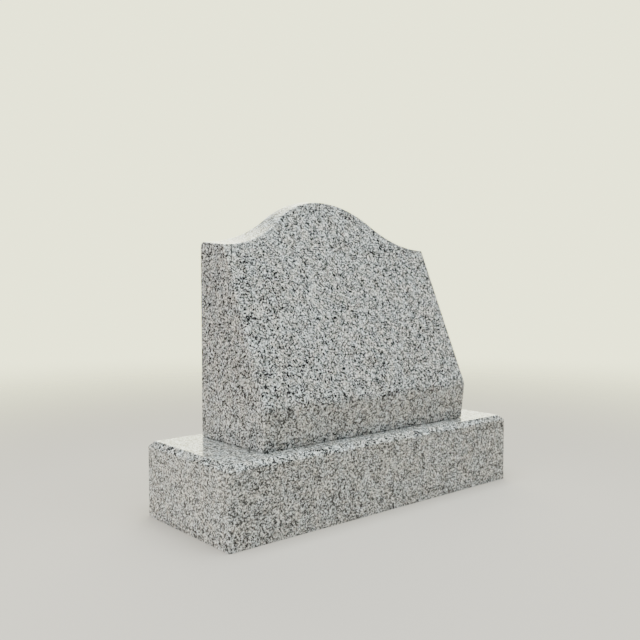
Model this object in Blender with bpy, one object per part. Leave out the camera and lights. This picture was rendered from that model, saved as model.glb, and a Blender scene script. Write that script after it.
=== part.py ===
"""A slant-faced granite headstone with an ogee top, standing on a rectangular granite base.

Metres, +Z up. The slanted face looks towards -Y, and the origin is the middle of the base's underside.
"""

import math

import bmesh
import bpy
from mathutils import Vector

# Headstone, seen from the front, with the heights of its back
HEADSTONE_WIDTH = 0.410
SHOULDER_HEIGHT = 0.285      # from the foot to the top at the two ends
CROWN_RISE = 0.069           # from the shoulders to the middle of the ogee
CROWN_HALF_RUN = 0.096       # from the middle to where the crown passes into the hollow

# Headstone, seen from the end
FOOT_THICKNESS = 0.150
NOSE_HEIGHT = 0.058          # the plain band under the slanted face
NOSE_OVERHANG = 0.007        # how far the band's top stands in front of its foot
CROWN_THICKNESS = 0.028
TOP_FALL = 0.10              # the top drops this much for each metre towards the front

# Base
SIDE_MARGIN = 0.075          # ledge of the base beside the headstone
FRONT_MARGIN = 0.032
BACK_MARGIN = 0.024
BASE_HEIGHT = 0.109

BASE_CHAMFER = 0.0075        # along its top edges, at 45 degrees

# Rounding of the polished edges, as radii
BASE_ARRIS = 0.002
BACK_TOP_ARRIS = 0.008
NOSE_ARRIS = 0.020
FINE_ARRIS = 0.002

# How finely the round shapes are cut
OGEE_ARC_STEPS = 18
ARRIS_STEPS = 4

# The headstone stands this far above the base, on its bedding joint
BED_JOINT = 0.0003

# Stone left below the foot, to be sawn off
FOOT_WASTE = 0.020


def clear_objects():
    for obj in list(bpy.data.objects):
        bpy.data.objects.remove(obj, do_unlink=True)


def granite(name, colour, roughness):
    """Polished light-grey granite."""
    material = bpy.data.materials.new(name)
    material.use_nodes = True
    shader = material.node_tree.nodes["Principled BSDF"]
    shader.inputs["Base Color"].default_value = (*colour, 1.0)
    shader.inputs["Roughness"].default_value = roughness
    shader.inputs["Metallic"].default_value = 0.0
    return material


def arc(centre_x, centre_z, radius, start, end):
    """Points of an arc, with its angles measured from straight up towards +X."""
    steps = [start + (end - start) * i / OGEE_ARC_STEPS for i in range(OGEE_ARC_STEPS + 1)]
    return [(centre_x + radius * math.sin(a), centre_z + radius * math.cos(a)) for a in steps]


def ogee():
    """The top outline from the left shoulder to the right one.

    On each side a hollow arc leaves the shoulder level and runs without a corner into the crown's arc.
    """
    half_width = HEADSTONE_WIDTH / 2
    turn = 2 * math.atan(CROWN_RISE / half_width)
    crown_radius = CROWN_HALF_RUN / math.sin(turn)
    hollow_radius = (half_width - CROWN_HALF_RUN) / math.sin(turn)
    hollow_centre = SHOULDER_HEIGHT + hollow_radius
    crown_centre = SHOULDER_HEIGHT + CROWN_RISE - crown_radius
    left = arc(-half_width, hollow_centre, hollow_radius, math.pi, math.pi - turn)
    crown = arc(0.0, crown_centre, crown_radius, -turn, turn)
    right = arc(half_width, hollow_centre, hollow_radius, math.pi + turn, math.pi)
    return left + crown[1:-1] + right


def saw(bm, point, normal):
    """Cut off what lies beyond a plane, and close the cut with one flat face."""
    everything = bm.verts[:] + bm.edges[:] + bm.faces[:]
    cut = bmesh.ops.bisect_plane(bm, geom=everything, dist=1e-6, plane_co=point, plane_no=normal,
                                 clear_outer=True)
    rim = [part for part in cut["geom_cut"] if isinstance(part, bmesh.types.BMEdge)]
    bmesh.ops.contextual_create(bm, geom=rim)


def round_arrises(piece, bm, kind_of_face, radius_between):
    """Give each edge between two kinds of face its own radius, with one Bevel modifier."""
    weight = bm.edges.layers.float.new("bevel_weight_edge")
    bm.normal_update()
    offsets = {}
    for edge in bm.edges:
        kinds = frozenset(kind_of_face(face.normal) for face in edge.link_faces)
        if len(kinds) == 2:
            offsets[edge] = radius_between(kinds) * math.tan(edge.calc_face_angle() / 2)
    widest = max(offsets.values())
    for edge, offset in offsets.items():
        edge[weight] = offset / widest
    bm.to_mesh(piece.data)
    piece.data.shade_smooth()
    rounding = piece.modifiers.new("Arrises", "BEVEL")
    rounding.limit_method = "WEIGHT"
    rounding.offset_type = "OFFSET"
    rounding.width = widest
    rounding.segments = ARRIS_STEPS
    rounding.harden_normals = True


def new_piece(name, material):
    piece = bpy.data.objects.new(name, bpy.data.meshes.new(name))
    piece.data.materials.append(material)
    bpy.context.collection.objects.link(piece)
    return piece


def headstone_face(normal):
    """Which face of the headstone looks along a normal."""
    if abs(normal.x) > 0.99:
        return "end"
    if normal.y > 0.99:
        return "back"
    if normal.z < -0.99:
        return "foot"
    if normal.y > -0.5:
        return "top"
    return "slant" if normal.z > 0 else "nose"


def headstone_radius(kinds):
    if kinds == {"back", "top"}:
        return BACK_TOP_ARRIS
    if kinds == {"slant", "nose"}:
        return NOSE_ARRIS
    return FINE_ARRIS


def build_headstone(material):
    """A slab with the ogee cut along its top, then sawn to the foot, the slanted face and the nose.

    The ogee is cut with a fall towards the front, so the slab runs forwards and a little down.
    """
    half_width = HEADSTONE_WIDTH / 2
    nose_thickness = FOOT_THICKNESS + NOSE_OVERHANG
    crown_front_height = SHOULDER_HEIGHT + CROWN_RISE - TOP_FALL * CROWN_THICKNESS
    outline = [(half_width, -FOOT_WASTE), (-half_width, -FOOT_WASTE)] + ogee()

    bm = bmesh.new()
    corners = [bm.verts.new((x, 0.0, z)) for x, z in outline]
    back = bm.faces.new(corners)
    front = bmesh.ops.extrude_face_region(bm, geom=[back])["geom"]
    moved = [part for part in front if isinstance(part, bmesh.types.BMVert)]
    bmesh.ops.translate(bm, verts=moved, vec=Vector((0.0, -1.0, -TOP_FALL)) * 2 * nose_thickness)
    bmesh.ops.recalc_face_normals(bm, faces=bm.faces[:])

    nose_top = Vector((0.0, -nose_thickness, NOSE_HEIGHT))
    crown_front = Vector((0.0, -CROWN_THICKNESS, crown_front_height))
    foot_front = Vector((0.0, -FOOT_THICKNESS, 0.0))
    across = Vector((1.0, 0.0, 0.0))
    saw(bm, foot_front, Vector((0.0, 0.0, -1.0)))
    saw(bm, nose_top, across.cross(crown_front - nose_top))
    saw(bm, nose_top, across.cross(nose_top - foot_front))

    piece = new_piece("headstone", material)
    round_arrises(piece, bm, headstone_face, headstone_radius)
    bm.free()
    return piece


def base_face(normal):
    """Which face of the base looks along a normal. Each side and each chamfer has a name of its own."""
    if abs(normal.z) > 0.99:
        return "top" if normal.z > 0 else "underside"
    if abs(normal.x) > abs(normal.y):
        side = "right" if normal.x > 0 else "left"
    else:
        side = "back" if normal.y > 0 else "front"
    return side + " chamfer" if normal.z > 0.5 else side


def base_radius(kinds):
    return 0.0 if "underside" in kinds else BASE_ARRIS


def build_base(material, width, depth):
    """A rectangular block, chamfered along its top and left sharp where it meets the ground."""
    bm = bmesh.new()
    bmesh.ops.create_cube(bm, size=1.0)
    bmesh.ops.scale(bm, verts=bm.verts[:], vec=(width, depth, BASE_HEIGHT))
    bmesh.ops.translate(bm, verts=bm.verts[:], vec=(0.0, 0.0, BASE_HEIGHT / 2))
    top_edges = [edge for edge in bm.edges if all(vert.co.z > BASE_HEIGHT / 2 for vert in edge.verts)]
    bmesh.ops.bevel(bm, geom=top_edges, offset=BASE_CHAMFER, offset_type="OFFSET", segments=1,
                    affect="EDGES")

    piece = new_piece("base", material)
    round_arrises(piece, bm, base_face, base_radius)
    bm.free()
    return piece


def main():
    clear_objects()
    base_width = HEADSTONE_WIDTH + 2 * SIDE_MARGIN
    base_depth = BACK_MARGIN + FOOT_THICKNESS + FRONT_MARGIN
    build_base(granite("base_granite", (0.36, 0.36, 0.35), 0.15), base_width, base_depth)
    headstone = build_headstone(granite("headstone_granite", (0.36, 0.36, 0.35), 0.15))
    headstone.location = (0.0, base_depth / 2 - BACK_MARGIN, BASE_HEIGHT + BED_JOINT)


main()
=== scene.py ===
# %% [markdown]
# # A polished granite headstone on its base
#
# The object is a small memorial of two stones. The headstone has a flat back, a face that leans back
# so that it can be read from above, a plain band called the nose under that face, and an ogee top: a
# curve that hollows in at each shoulder and swells out at the crown. It stands on a plain rectangular
# base. Both are cut from one light-grey granite and polished.
#
# The solid model is loaded first. It says how big each stone is and where it stands, and every piece
# made here takes its place from it.

# %% Load the frame
import math

import bmesh
import bpy
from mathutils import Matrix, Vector, noise


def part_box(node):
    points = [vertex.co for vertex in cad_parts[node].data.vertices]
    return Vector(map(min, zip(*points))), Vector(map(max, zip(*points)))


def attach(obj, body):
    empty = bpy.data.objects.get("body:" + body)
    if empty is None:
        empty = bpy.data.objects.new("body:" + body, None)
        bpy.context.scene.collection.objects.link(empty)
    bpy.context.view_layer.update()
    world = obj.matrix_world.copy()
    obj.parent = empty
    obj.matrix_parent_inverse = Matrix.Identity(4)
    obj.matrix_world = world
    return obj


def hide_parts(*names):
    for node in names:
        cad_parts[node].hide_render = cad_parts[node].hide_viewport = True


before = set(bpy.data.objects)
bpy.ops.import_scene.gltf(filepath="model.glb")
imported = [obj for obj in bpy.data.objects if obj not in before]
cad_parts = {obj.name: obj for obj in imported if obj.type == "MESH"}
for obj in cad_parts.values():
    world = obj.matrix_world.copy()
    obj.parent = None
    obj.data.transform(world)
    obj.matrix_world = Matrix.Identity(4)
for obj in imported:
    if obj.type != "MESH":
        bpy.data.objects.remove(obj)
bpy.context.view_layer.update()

MM = 0.001  # lengths below are in metres, and small ones read better in millimetres

# %% [markdown]
# ## Camera
#
# The camera stands to the front left of the headstone, about 1.2 m away and a little lower than its
# shoulders. Its place and its focal length were worked out together, from how the long edges of both
# stones run towards their vanishing points in a square picture 640 pixels wide.

# %% Camera
PICTURE_WIDTH = 640  # pixels
FOCAL_LENGTH = 769.9  # pixels, in that picture
SENSOR_WIDTH = 36.0  # mm
CAMERA_PLACE = Vector((-0.8017, -0.8853, 0.3389))
CAMERA_TURN = math.radians(40.56)  # from looking straight at the front, towards +X
CAMERA_DIP = math.radians(3.01)
CAMERA_ROLL = math.radians(0.06)

camera = bpy.data.objects.new("camera", bpy.data.cameras.new("camera"))
bpy.context.collection.objects.link(camera)
camera.data.sensor_width = SENSOR_WIDTH
camera.data.lens = FOCAL_LENGTH / PICTURE_WIDTH * SENSOR_WIDTH
camera.location = CAMERA_PLACE
camera.rotation_euler = (math.pi / 2 - CAMERA_DIP, CAMERA_ROLL, -CAMERA_TURN)
bpy.context.scene.camera = camera
print("lens", round(camera.data.lens, 2), "mm, camera", round(CAMERA_PLACE.length, 3), "m from the base")

# %% [markdown]
# ## Shader formulas
#
# The look of a surface is a graph of nodes, and a formula such as `1 - mask * 0.3` takes several of
# them. The class below wraps one socket of that graph, so that the formula can be written as it is
# read: each operator adds the Math node that it stands for. Python calls the reflected form of an
# operator, such as `__rsub__`, where a plain number stands before the socket.

# %% A socket that can be used in a formula
class Wire:
    def __init__(self, graph, socket):
        self.graph = graph
        self.socket = socket

    def math(self, operation, *values):
        return self.graph.node("Math", {"operation": operation}, dict(enumerate(values)))

    def __add__(self, other):
        return self.math("ADD", self, other)

    __radd__ = __add__

    def __sub__(self, other):
        return self.math("SUBTRACT", self, other)

    def __rsub__(self, other):
        return self.math("SUBTRACT", other, self)

    def __mul__(self, other):
        return self.math("MULTIPLY", self, other)

    __rmul__ = __mul__

    def __lt__(self, other):
        return self.math("LESS_THAN", self, other)

    def rise(self, low, high):
        """0 below low, 1 above high, and smooth between them."""
        settings = {"interpolation_type": "SMOOTHSTEP"}
        return self.graph.node("MapRange", settings, {"Value": self, "From Min": low, "From Max": high})


# %% [markdown]
# ## Graphs of nodes
#
# The next class holds a whole graph, of a material or of the world around the scene. Every node comes
# from one method. It sets the settings first, because they decide which sockets a node has, and then
# it links the sockets or gives them values. A colour must not go through a Math node, which would turn
# it grey, so colours and places have two methods of their own.

# %% A graph of nodes
class Graph:
    def __init__(self, owner, shader):
        owner.use_nodes = True
        self.owner = owner
        self.tree = owner.node_tree
        self.shader = self.tree.nodes[shader]

    def plug(self, socket, value):
        if isinstance(value, Wire):
            self.tree.links.new(value.socket, socket)
        elif socket.type == "RGBA" and len(value) == 3:
            socket.default_value = (*value, 1.0)
        else:
            socket.default_value = value

    def surface(self, **inputs):
        """Set the inputs of the shader, named with underscores for spaces."""
        for name, value in inputs.items():
            self.plug(self.shader.inputs[name.replace("_", " ")], value)

    def node(self, kind, settings=None, inputs=None, output=0):
        node = self.tree.nodes.new("ShaderNode" + kind)
        for name, value in (settings or {}).items():
            if name == "stops":
                self.set_stops(node.color_ramp, value)
            else:
                setattr(node, name, value)
        for key, value in (inputs or {}).items():
            self.plug(node.inputs[key], value)
        return Wire(self, node.outputs[output])

    def set_stops(self, ramp, stops):
        """Fill a colour ramp with steps, each of one colour from its position to the next."""
        ramp.interpolation = "CONSTANT"
        while len(ramp.elements) < len(stops):
            ramp.elements.new(0.5)
        for element, (position, colour) in zip(ramp.elements, stops):
            element.position = position
            element.color = (*colour, 1.0)

    def mix(self, low, high, factor):
        """A colour between two others."""
        inputs = {"Factor": factor, 6: low, 7: high}
        return self.node("Mix", {"data_type": "RGBA"}, inputs, output=2)

    def vector(self, operation, a, b, output=0):
        return self.node("VectorMath", {"operation": operation}, {0: a, 1: b}, output)


# %% [markdown]
# ## Crystals
#
# Granite is crystals of a few minerals grown into each other, so each crystal has one colour and a
# sharp, uneven outline. A Voronoi texture gives just that: cells with a random colour each. One channel
# of the random colour is one random number for each crystal. The place that the texture reads is first
# pushed about by a noise, so that the straight sides of the cells become ragged.
#
# The pattern is solid and reads Object coordinates. It runs on round every edge as it does in a real
# block, with no seam.

# %% Crystals
RAGGED = 0.7 * MM  # how far the sides of the crystals are pushed
RAGGED_LENGTH = 1.6 * MM


def ragged(stone, place):
    """A place in the stone, pushed a little to and fro."""
    inputs = {"Vector": place, "Scale": 1 / RAGGED_LENGTH, "Detail": 1.0}
    push = stone.node("TexNoise", {"noise_dimensions": "3D"}, inputs, output="Color")
    push = stone.vector("SUBTRACT", push, (0.5, 0.5, 0.5))
    return stone.vector("ADD", place, stone.vector("MULTIPLY", push, (RAGGED * 2,) * 3))


def crystals(stone, place, size, channel, shift=0.0):
    """A random number for each crystal. A shift in place gives a layer crystals of its own."""
    shifted = stone.vector("ADD", place, (shift, shift * 0.7, shift * 1.3))
    settings = {"voronoi_dimensions": "3D", "feature": "F1"}
    inputs = {"Vector": shifted, "Scale": 1 / size, "Randomness": 1.0}
    cells = stone.node("TexVoronoi", settings, inputs, output="Color")
    return stone.node("SeparateColor", inputs={"Color": cells}, output=channel)


def patches(stone, place, size):
    """0 in some patches of the stone and 1 in others, and smooth between them."""
    inputs = {"Vector": place, "Scale": 1 / size, "Detail": 2.0, "Roughness": 0.55}
    return stone.node("TexNoise", {"noise_dimensions": "3D"}, inputs, output="Fac").rise(0.35, 0.65)


# %% [markdown]
# ## Granite
#
# The crystals are about 2 mm across. Most are white to grey feldspar, and the glassy ones are quartz.
# A ramp with steps turns the random number into one of these minerals, and the width of a step is the
# share of that mineral. The black ones are flakes of mica. They are a second layer of crystals, because
# they lie in loose clusters: a flake shows where its random number is below a chance, and the chance
# is higher in some patches than in others. Larger patches are a trace cooler or warmer than the rest.
#
# Polished granite is smooth but not a mirror, and mica takes the polish less well than the hard
# minerals, so it is rougher there. The undersides, which nobody sees, are left as they were sawn: pale,
# dusty and rough.

# %% Granite
CRYSTAL = 1.8 * MM
MINERALS = [
    (0.0, (0.85, 0.86, 0.83)),  # white feldspar
    (0.30, (0.58, 0.59, 0.56)),  # milky feldspar
    (0.50, (0.48, 0.45, 0.41)),  # warm feldspar
    (0.59, (0.32, 0.33, 0.31)),  # grey feldspar
    (0.73, (0.17, 0.18, 0.17)),  # quartz
    (0.88, (0.07, 0.073, 0.07)),  # smoky quartz
]
MICA_FLAKE = 1.9 * MM
MICA_LAYER = 3.1  # shift of the second layer, in metres
MICA = (0.014, 0.015, 0.015)
MICA_CHANCE = 0.14
MORE_IN_CLUSTERS = 0.28
CLUSTER = 9 * MM
TINT_PATCH = 16 * MM
COOLER = (0.975, 1.0, 1.03)
WARMER = (1.025, 0.997, 0.975)
SAWN = (0.52, 0.53, 0.52)
SAWN_DUST = 0.45
SAWN_DEPTH = 0.2 * MM  # how far above its underside a stone looks sawn

POLISH = 0.10  # roughness of the polished minerals, and what mica and a sawn face add to it
MICA_ROUGHER = 0.12
SAWN_ROUGHER = 0.5


def granite(name, underside):
    """The granite of one stone, with the height of its underside."""
    stone = Graph(bpy.data.materials.new(name), "Principled BSDF")
    place = stone.node("TexCoord", output="Object")
    pushed = ragged(stone, place)

    mineral = crystals(stone, pushed, CRYSTAL, "Red")
    colour = stone.node("ValToRGB", {"stops": MINERALS}, {"Fac": mineral}, output="Color")
    chance = MICA_CHANCE + patches(stone, place, CLUSTER) * MORE_IN_CLUSTERS
    mica = crystals(stone, pushed, MICA_FLAKE, "Green", MICA_LAYER) < chance
    colour = stone.mix(colour, MICA, mica)
    tint = stone.mix(COOLER, WARMER, patches(stone, place, TINT_PATCH))
    colour = stone.vector("MULTIPLY", colour, tint)

    height = stone.node("SeparateXYZ", inputs={"Vector": place}, output="Z")
    sawn = height < underside + SAWN_DEPTH
    stone.surface(Base_Color=stone.mix(colour, SAWN, sawn * SAWN_DUST),
                  Roughness=POLISH + mica * MICA_ROUGHER + sawn * SAWN_ROUGHER, IOR=1.54)
    print(name, "has", len(stone.tree.nodes), "nodes")
    return stone.owner


# %% [markdown]
# ## Eased arrises
#
# An arris is the edge where two faces of a stone meet. A mason never leaves it sharp, because it would
# chip, but eases it to a radius of a few millimetres. One Bevel modifier eases all of them. It cuts
# each edge by a share of its width, and the weight of an edge is that share: a given radius needs a
# wider cut where the faces turn more sharply. The radius wanders by a few hundredths along an edge,
# because arrises are polished by hand. Clamp Overlap is off: many edges are short here, on the ogee
# above all, and it would shrink every cut to almost nothing.
#
# A Weighted Normal modifier comes last. Smooth shading alone would bend the light over the large faces
# too. The modifier makes them look flat right up to the rounded strips.

# %% Eased arrises
WANDER = 0.06  # share of the radius
WANDER_LENGTH = 60 * MM
ARRIS_STEPS = 6
SHARPEST_CURVE = math.radians(30)  # faces that meet at more than this, and aren't eased, stay sharp


def new_piece(name, material):
    piece = bpy.data.objects.new(name, bpy.data.meshes.new(name))
    piece.data.materials.append(material)
    bpy.context.collection.objects.link(piece)
    return piece


def ease_arrises(piece, bm, radius_of):
    """Give the piece its mesh, and ease each edge by the radius that its two faces ask for."""
    weight = bm.edges.layers.float.new("bevel_weight_edge")
    bm.normal_update()
    offsets = {}
    for edge in bm.edges:
        radius = radius_of(*edge.link_faces)
        edge.smooth = bool(radius) or edge.calc_face_angle() < SHARPEST_CURVE
        if radius:
            middle = (edge.verts[0].co + edge.verts[1].co) / 2
            radius *= 1 + WANDER * noise.noise(middle / WANDER_LENGTH)
            offsets[edge] = radius * math.tan(edge.calc_face_angle() / 2)
    widest = max(offsets.values())
    for edge, offset in offsets.items():
        edge[weight] = offset / widest
    bm.to_mesh(piece.data)
    bm.free()
    piece.data.shade_smooth()
    easing = piece.modifiers.new("Arrises", "BEVEL")
    easing.limit_method = "WEIGHT"
    easing.width = widest
    easing.segments = ARRIS_STEPS
    easing.use_clamp_overlap = False
    shading = piece.modifiers.new("Flat faces stay flat", "WEIGHTED_NORMAL")
    shading.keep_sharp = True
    print(piece.name, "has", len(offsets), "eased edges, the widest cut", round(widest / MM, 2), "mm")


# %% [markdown]
# ## The base
#
# A block, sawn to size. A flat chamfer runs round its top, and catches the light from above as a pale
# band. Its arrises are eased, apart from the lower ones, which stay sharp where they meet the ground.
# The long edges are cut into short lengths first, so that the radius has somewhere to wander.

# %% The base
CHAMFER = 7.5 * MM
BASE_RADIUS = 2 * MM
EDGE_LENGTH = 20 * MM

base_low, base_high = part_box("base")


def cut_long_edges(bm):
    for edge in bm.edges[:]:
        cuts = int(edge.calc_length() / EDGE_LENGTH)
        if cuts:
            bmesh.ops.subdivide_edges(bm, edges=[edge], cuts=cuts)


def base_radius(one, other):
    """None where one of the two faces is the underside."""
    return 0.0 if min(one.normal.z, other.normal.z) < -0.9 else BASE_RADIUS


def make_base():
    piece = new_piece("granite_base", granite("base_polished_granite", base_low.z))
    bm = bmesh.new()
    bmesh.ops.create_cube(bm, size=1.0)
    bmesh.ops.scale(bm, verts=bm.verts[:], vec=base_high - base_low)
    bmesh.ops.translate(bm, verts=bm.verts[:], vec=(base_high + base_low) / 2)
    top = max(bm.faces, key=lambda face: face.calc_center_median().z)
    bmesh.ops.bevel(bm, geom=top.edges[:], offset=CHAMFER, affect="EDGES", segments=1, profile=0.5,
                    material=-1)
    cut_long_edges(bm)
    ease_arrises(piece, bm, base_radius)
    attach(piece, "root")
    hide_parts("base")


make_base()

# %% [markdown]
# ## The headstone's outline
#
# The headstone starts as its outline, seen from the front. The ogee is three arcs, each drawn by
# spinning the end of the line about a centre: a hollow, the crown, and a hollow again. They meet
# without a corner, because each centre lies on the line through the last one and the place where they
# meet. The outline reaches a little below the foot, so that the foot can be sawn.

# %% The headstone's outline
CROWN_HEIGHT = 354 * MM  # above the foot, at the back, before its edge is rounded over
CROWN_RISE = 69 * MM  # from the shoulders to the crown
CROWN_HALF_RUN = 96 * MM  # from the middle to where the crown passes into the hollow
FOOT_WASTE = 20 * MM
ARC_STEPS = 48

head_low, head_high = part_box("headstone")


def spin_end(bm, end, centre, angle):
    """Draw an arc from the end of the line, and return its new end."""
    spun = bmesh.ops.spin(bm, geom=[end], cent=centre, axis=(0, 1, 0), dvec=(0, 0, 0), angle=angle,
                          steps=ARC_STEPS, use_merge=False, use_duplicate=False)
    return next(part for part in spun["geom_last"] if isinstance(part, bmesh.types.BMVert))


def draw_outline(bm):
    """The front outline, at the back of the headstone, as one face."""
    half_width = (head_high.x - head_low.x) / 2
    crown = head_low.z + CROWN_HEIGHT
    shoulder = crown - CROWN_RISE
    back = head_high.y
    turn = 2 * math.atan(CROWN_RISE / half_width)
    crown_radius = CROWN_HALF_RUN / math.sin(turn)
    hollow_radius = (half_width - CROWN_HALF_RUN) / math.sin(turn)

    left_foot = bm.verts.new((-half_width, back, head_low.z - FOOT_WASTE))
    right_foot = bm.verts.new((half_width, back, head_low.z - FOOT_WASTE))
    end = bm.verts.new((-half_width, back, shoulder))
    bm.edges.new((right_foot, left_foot))
    bm.edges.new((left_foot, end))
    end = spin_end(bm, end, (-half_width, back, shoulder + hollow_radius), -turn)
    end = spin_end(bm, end, (0, back, crown - crown_radius), 2 * turn)
    end = spin_end(bm, end, (half_width, back, shoulder + hollow_radius), -turn)
    bm.edges.new((end, right_foot))
    print("ogee radii", round(hollow_radius / MM, 1), "and", round(crown_radius / MM, 1), "mm")
    bmesh.ops.contextual_create(bm, geom=bm.edges[:])


# %% [markdown]
# ## Sawing and rounding over
#
# A saw cut is a plane: what lies beyond it goes, and the cut is closed with one flat face. Two edges
# are rounded over, the one along the back of the top and the one between the leaning face and the
# nose. They get a bevel in the mesh before the arrises are eased. So their roundings run right out
# through the ends of the stone, and the easing follows them there.

# %% Sawing and rounding over
ROUND_STEPS = 10


def saw(bm, point, normal):
    """Cut off what lies beyond a plane, and close the cut with one flat face."""
    cut = bmesh.ops.bisect_plane(bm, geom=bm.verts[:] + bm.edges[:] + bm.faces[:], dist=1e-6,
                                 plane_co=point, plane_no=normal, clear_outer=True)
    rim = [part for part in cut["geom_cut"] if isinstance(part, bmesh.types.BMEdge)]
    bmesh.ops.contextual_create(bm, geom=rim)


def round_over(bm, radius, is_chosen):
    """Round the chosen edges from one end of the stone to the other."""
    bm.normal_update()
    chosen = [edge for edge in bm.edges if is_chosen(*edge.link_faces)]
    offset = radius * math.tan(max(edge.calc_face_angle() for edge in chosen) / 2)
    bmesh.ops.bevel(bm, geom=chosen, offset=offset, offset_type="OFFSET", affect="EDGES",
                    segments=ROUND_STEPS, profile=0.5, material=-1)
    print("rounded over", len(chosen), "edges with an offset of", round(offset / MM, 1), "mm")


def meets_back_and_top(one, other):
    """The back looks along +Y, and the top looks up more than to a side."""
    return max(one.normal.y, other.normal.y) > 0.99 and max(one.normal.z, other.normal.z) > 0.5


def meets_face_and_nose(one, other):
    """Both look along -Y, the leaning face a little up and the nose a little down."""
    return max(one.normal.y, other.normal.y) < -0.9


# %% [markdown]
# ## The headstone
#
# The outline is extruded to a slab, forwards and a little down, because the top falls towards the
# front. Then the slab is sawn three times: along the foot, along the leaning face and along the nose.
# The slab is twice as thick as the foot, so that the saws have stone to cut.

# %% The headstone
FOOT_THICKNESS = 150 * MM
NOSE_HEIGHT = 58 * MM
NOSE_OVERHANG = 7 * MM
CROWN_THICKNESS = 28 * MM
TOP_FALL = 0.1  # how far the top drops for each metre towards the front
BACK_TOP_RADIUS = 8 * MM
NOSE_RADIUS = 20 * MM
FINE_RADIUS = 2 * MM
ONE_CURVE = 0.95  # two faces whose normals agree by more than this belong to one curve


def headstone_radius(one, other):
    return 0.0 if one.normal.dot(other.normal) > ONE_CURVE else FINE_RADIUS


def make_headstone():
    piece = new_piece("granite_headstone", granite("headstone_polished_granite", head_low.z))
    back_foot = Vector((0, head_high.y, head_low.z))
    foot_front = back_foot + Vector((0, -FOOT_THICKNESS, 0))
    nose_top = foot_front + Vector((0, -NOSE_OVERHANG, NOSE_HEIGHT))
    crown_front = back_foot + Vector((0, -CROWN_THICKNESS, CROWN_HEIGHT - TOP_FALL * CROWN_THICKNESS))
    across = Vector((1, 0, 0))
    forwards = Vector((0, -1, -TOP_FALL)) * 2 * FOOT_THICKNESS

    bm = bmesh.new()
    draw_outline(bm)
    slab = bmesh.ops.extrude_face_region(bm, geom=bm.faces[:])["geom"]
    moved = [part for part in slab if isinstance(part, bmesh.types.BMVert)]
    bmesh.ops.translate(bm, verts=moved, vec=forwards)
    bmesh.ops.recalc_face_normals(bm, faces=bm.faces[:])
    saw(bm, foot_front, (0, 0, -1))
    saw(bm, nose_top, across.cross(crown_front - nose_top))
    saw(bm, nose_top, across.cross(nose_top - foot_front))
    round_over(bm, BACK_TOP_RADIUS, meets_back_and_top)
    round_over(bm, NOSE_RADIUS, meets_face_and_nose)
    cut_long_edges(bm)
    ease_arrises(piece, bm, headstone_radius)
    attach(piece, "root")
    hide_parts("headstone")


make_headstone()

# %% [markdown]
# ## Floor
#
# A pale disc. It is solid under the stones and thins out to nothing from there on, where the backdrop
# takes over, so that no horizon line shows. Its colour is a little warm, and the light that it throws
# back warms the upright faces.

# %% Floor
FLOOR_COLOUR = (0.60, 0.55, 0.50)
FLOOR_SOLID = 0.45  # radius in metres up to which the floor is solid
FLOOR_GONE = 2.4
FLOOR_DROP = 0.2 * MM  # below the base, so that no two faces lie in one plane


def make_floor():
    paper = Graph(bpy.data.materials.new("pale_floor"), "Principled BSDF")
    place = paper.node("TexCoord", output="Object")
    reach = paper.node("VectorMath", {"operation": "LENGTH"}, {0: place}, output="Value")
    paper.surface(Alpha=1 - reach.rise(FLOOR_SOLID, FLOOR_GONE), Base_Color=FLOOR_COLOUR, Roughness=0.9,
                  Specular_IOR_Level=0.1)
    floor = new_piece("floor", paper.owner)
    bm = bmesh.new()
    bmesh.ops.create_circle(bm, cap_ends=True, segments=96, radius=FLOOR_GONE)
    bmesh.ops.translate(bm, verts=bm.verts[:], vec=(0, 0, -FLOOR_DROP))
    bm.to_mesh(floor.data)
    bm.free()
    print("floor", FLOOR_GONE * 2, "m across")


make_floor()

# %% [markdown]
# ## Softboxes
#
# Two softboxes light the stones, a slightly warm one at the left and a wide, slightly cool one
# overhead. A softbox is given by how bright its surface looks, since that is what polished stone
# mirrors, and its power follows from its size.

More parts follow.
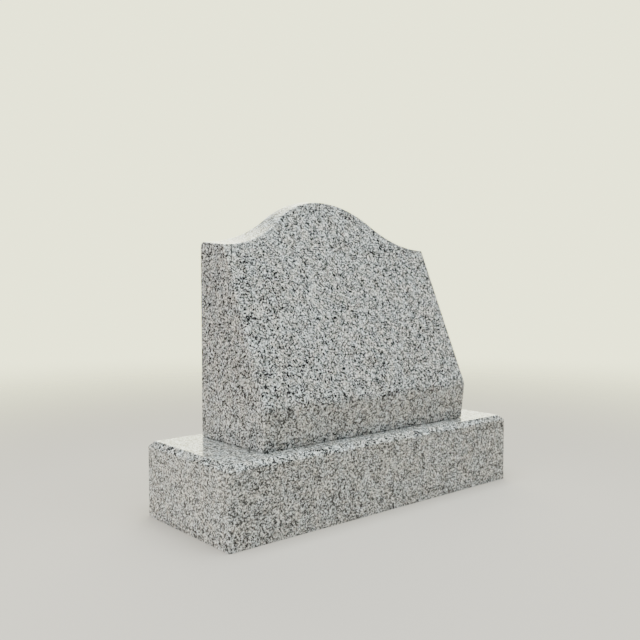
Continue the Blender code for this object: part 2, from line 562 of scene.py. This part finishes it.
# %% Softboxes
def softbox(name, centre, aim, width, height, radiance, colour):
    light = bpy.data.lights.new(name, "AREA")
    light.shape = "RECTANGLE"
    light.size = width
    light.size_y = height
    light.color = colour
    light.energy = radiance * math.pi * width * height
    box = bpy.data.objects.new(name, light)
    bpy.context.collection.objects.link(box)
    box.location = centre
    box.rotation_euler = (Vector(aim) - Vector(centre)).to_track_quat("-Z", "Y").to_euler()
    box.visible_camera = False
    print(name, round(light.energy, 1), "W")


softbox("left_softbox", centre=(-2.3, -0.1, 0.6), aim=(0, 0, 0.25), width=1.6, height=1.2,
        radiance=2.8, colour=(1.0, 0.95, 0.93))
softbox("overhead_softbox", centre=(-0.2, -0.4, 2.3), aim=(-0.2, -0.4, 0), width=2.6, height=2.2,
        radiance=5.4, colour=(0.91, 1.0, 1.0))

# %% [markdown]
# ## Dome
#
# A weak dome of light stands all round. It is bright in one place, low behind the stones. A polished
# surface that is seen at a low angle mirrors what stands behind it, so this glow turns the ledge of the
# base and the flanks of the crown almost white. The camera itself sees an even backdrop in place of
# the dome. Filmic, the way the picture is developed, holds those bright places just below white.

# %% Dome
DOME = (0.18, 0.155, 0.16)
GLOW = (3.4, 3.3, 2.6)
BACKDROP = (1.95, 1.9, 1.35)


def glow(studio, look, azimuth, elevation, core, edge):
    """1 in the core of a round patch of the dome, and 0 outside its edge. Azimuth is from +Y to +X."""
    around, up = math.radians(azimuth), math.radians(elevation)
    middle = (math.sin(around) * math.cos(up), math.cos(around) * math.cos(up), math.sin(up))
    closeness = studio.vector("DOT_PRODUCT", look, middle, output="Value")
    return closeness.rise(math.cos(math.radians(edge)), math.cos(math.radians(core)))


def make_dome():
    studio = Graph(bpy.data.worlds.new("studio"), "Background")
    look = studio.node("TexCoord", output="Generated")
    bright = glow(studio, look, azimuth=40, elevation=8, core=22, edge=45)
    studio.surface(Color=studio.mix(DOME, GLOW, bright))
    seen = studio.node("Background", inputs={"Color": BACKDROP})
    path = studio.node("LightPath", output="Is Camera Ray")
    choice = studio.node("MixShader", inputs={0: path, 1: Wire(studio, studio.shader.outputs[0]), 2: seen})
    studio.tree.links.new(choice.socket, studio.tree.nodes["World Output"].inputs["Surface"])
    bpy.context.scene.world = studio.owner
    print("dome has", len(studio.tree.nodes), "nodes")


make_dome()

bpy.context.scene.view_settings.view_transform = "Filmic"
